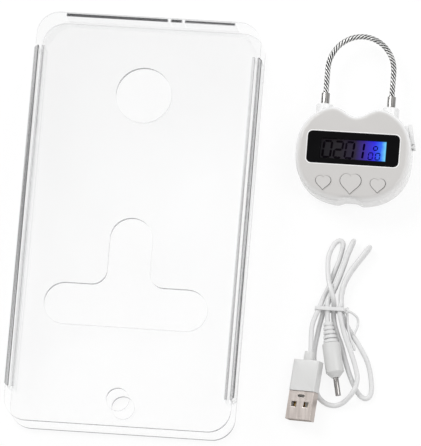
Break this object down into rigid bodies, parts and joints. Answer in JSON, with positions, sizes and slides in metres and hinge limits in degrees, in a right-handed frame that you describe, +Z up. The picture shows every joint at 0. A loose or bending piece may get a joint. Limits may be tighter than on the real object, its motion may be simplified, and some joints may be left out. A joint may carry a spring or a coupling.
{
  "type": "timed lock container",
  "caption": "Clear two-part phone box with a sliding cover, an apple-shaped timer padlock with a wire-rope shackle, and its tied charging lead",
  "frame": {"origin": "centre of the underside of the clear box, on the table", "axes": "+X to the padlock's side, +Y along the box to its closed end, +Z up through the cover"},
  "size_m": [0.1704, 0.1846, 0.024],
  "materials": {
    "clear_plastic": "clear polished acrylic",
    "white_case": "satin moulded white",
    "dark_lens": "black tinted, clear over the display",
    "display": "liquid crystal",
    "light_guide": "milky light guide",
    "led": "blue lamp",
    "board": "green solder mask",
    "chip": "black moulded",
    "cell": "foil pouch",
    "steel": "plated steel",
    "chrome": "polished plating",
    "wire_rope": "twisted steel wires",
    "nylon": "natural nylon",
    "gilt": "gold plated",
    "white_cord": "soft white vinyl"
  },
  "bodies": {
    "tray": {"tray_plate": "clear_plastic", "tray_wall_left": "clear_plastic", "tray_wall_right": "clear_plastic", "phone_stop": "clear_plastic", "charging_cord": "white_cord", "cord_tie": "white_cord", "usb_shell": "steel", "usb_insert": "nylon", "usb_contacts": "gilt", "usb_grip": "white_cord", "usb_neck": "white_cord", "dc_relief": "white_cord", "dc_grip": "white_cord", "dc_barrel": "steel", "dc_insulator": "chip"},
    "cover": {"cover_plate": "clear_plastic", "cover_rail_left": "clear_plastic", "cover_rail_right": "clear_plastic", "cover_end_wall": "clear_plastic"},
    "padlock": {"back_shell": "white_case", "front_shell": "white_case", "case_screws": "steel", "window_lens": "dark_lens", "lcd_glass": "display", "backlight_guide": "light_guide", "backlight_led": "led", "circuit_board": "board", "board_chips": "chip", "battery": "cell", "tact_switches": "chip", "socket_sleeve": "steel", "fixed_ferrule": "chrome", "shackle_rope": "wire_rope", "latch_spring": "steel", "gearbox": "chip", "motor": "steel", "motor_cradle": "white_case", "dc_jack": "chip", "port_hinge": "white_case"},
    "shackle_end": {"shackle_plug": "chrome"},
    "key_left": {"button_left": "white_case"},
    "key_center": {"button_center": "white_case"},
    "key_right": {"button_right": "white_case"},
    "bolt": {"latch_bolt": "steel"},
    "cam": {"cam_shaft": "steel", "lock_cam": "nylon"},
    "port_flap": {"port_cover": "white_case"}
  },
  "joints": [
    {"name": "cover_slide", "type": "slide", "parent": "tray", "child": "cover", "axis": [0, 1, 0], "range_m": [0, 0.16]},
    {"name": "padlock_lift", "type": "slide", "parent": "tray", "child": "padlock", "axis": [0, 0, 1], "range_m": [0, 0.06]},
    {"name": "shackle_slide", "type": "slide", "parent": "padlock", "child": "shackle_end", "axis": [0, 1, 0], "range_m": [0, 0.014], "deforming": ["shackle_rope"]},
    {"name": "key_left_press", "type": "slide", "parent": "padlock", "child": "key_left", "axis": [0, 0, -1], "range_m": [0, 0.0003], "stiffness_N_per_m": 300},
    {"name": "key_center_press", "type": "slide", "parent": "padlock", "child": "key_center", "axis": [0, 0, -1], "range_m": [0, 0.0003], "stiffness_N_per_m": 300},
    {"name": "key_right_press", "type": "slide", "parent": "padlock", "child": "key_right", "axis": [0, 0, -1], "range_m": [0, 0.0003], "stiffness_N_per_m": 300},
    {"name": "cam_turn", "type": "hinge", "parent": "padlock", "child": "cam", "pos_m": [0.0932, 0.0492, 0.0096], "axis": [1, 0, 0], "range_deg": [0, 90]},
    {"name": "bolt_slide", "type": "slide", "parent": "padlock", "child": "bolt", "axis": [0, 0, 1], "range_m": [0, 0.0024], "deforming": ["latch_spring"]},
    {"name": "port_flap_hinge", "type": "hinge", "parent": "padlock", "child": "port_flap", "pos_m": [0.11924, 0.04309, 0.008], "axis": [0, 0, -1], "range_deg": [0, 120]}
  ],
  "couplings": [
    {"joint": "cam_turn", "follows": "bolt_slide", "rad_per_m": 654.5}
  ]
}
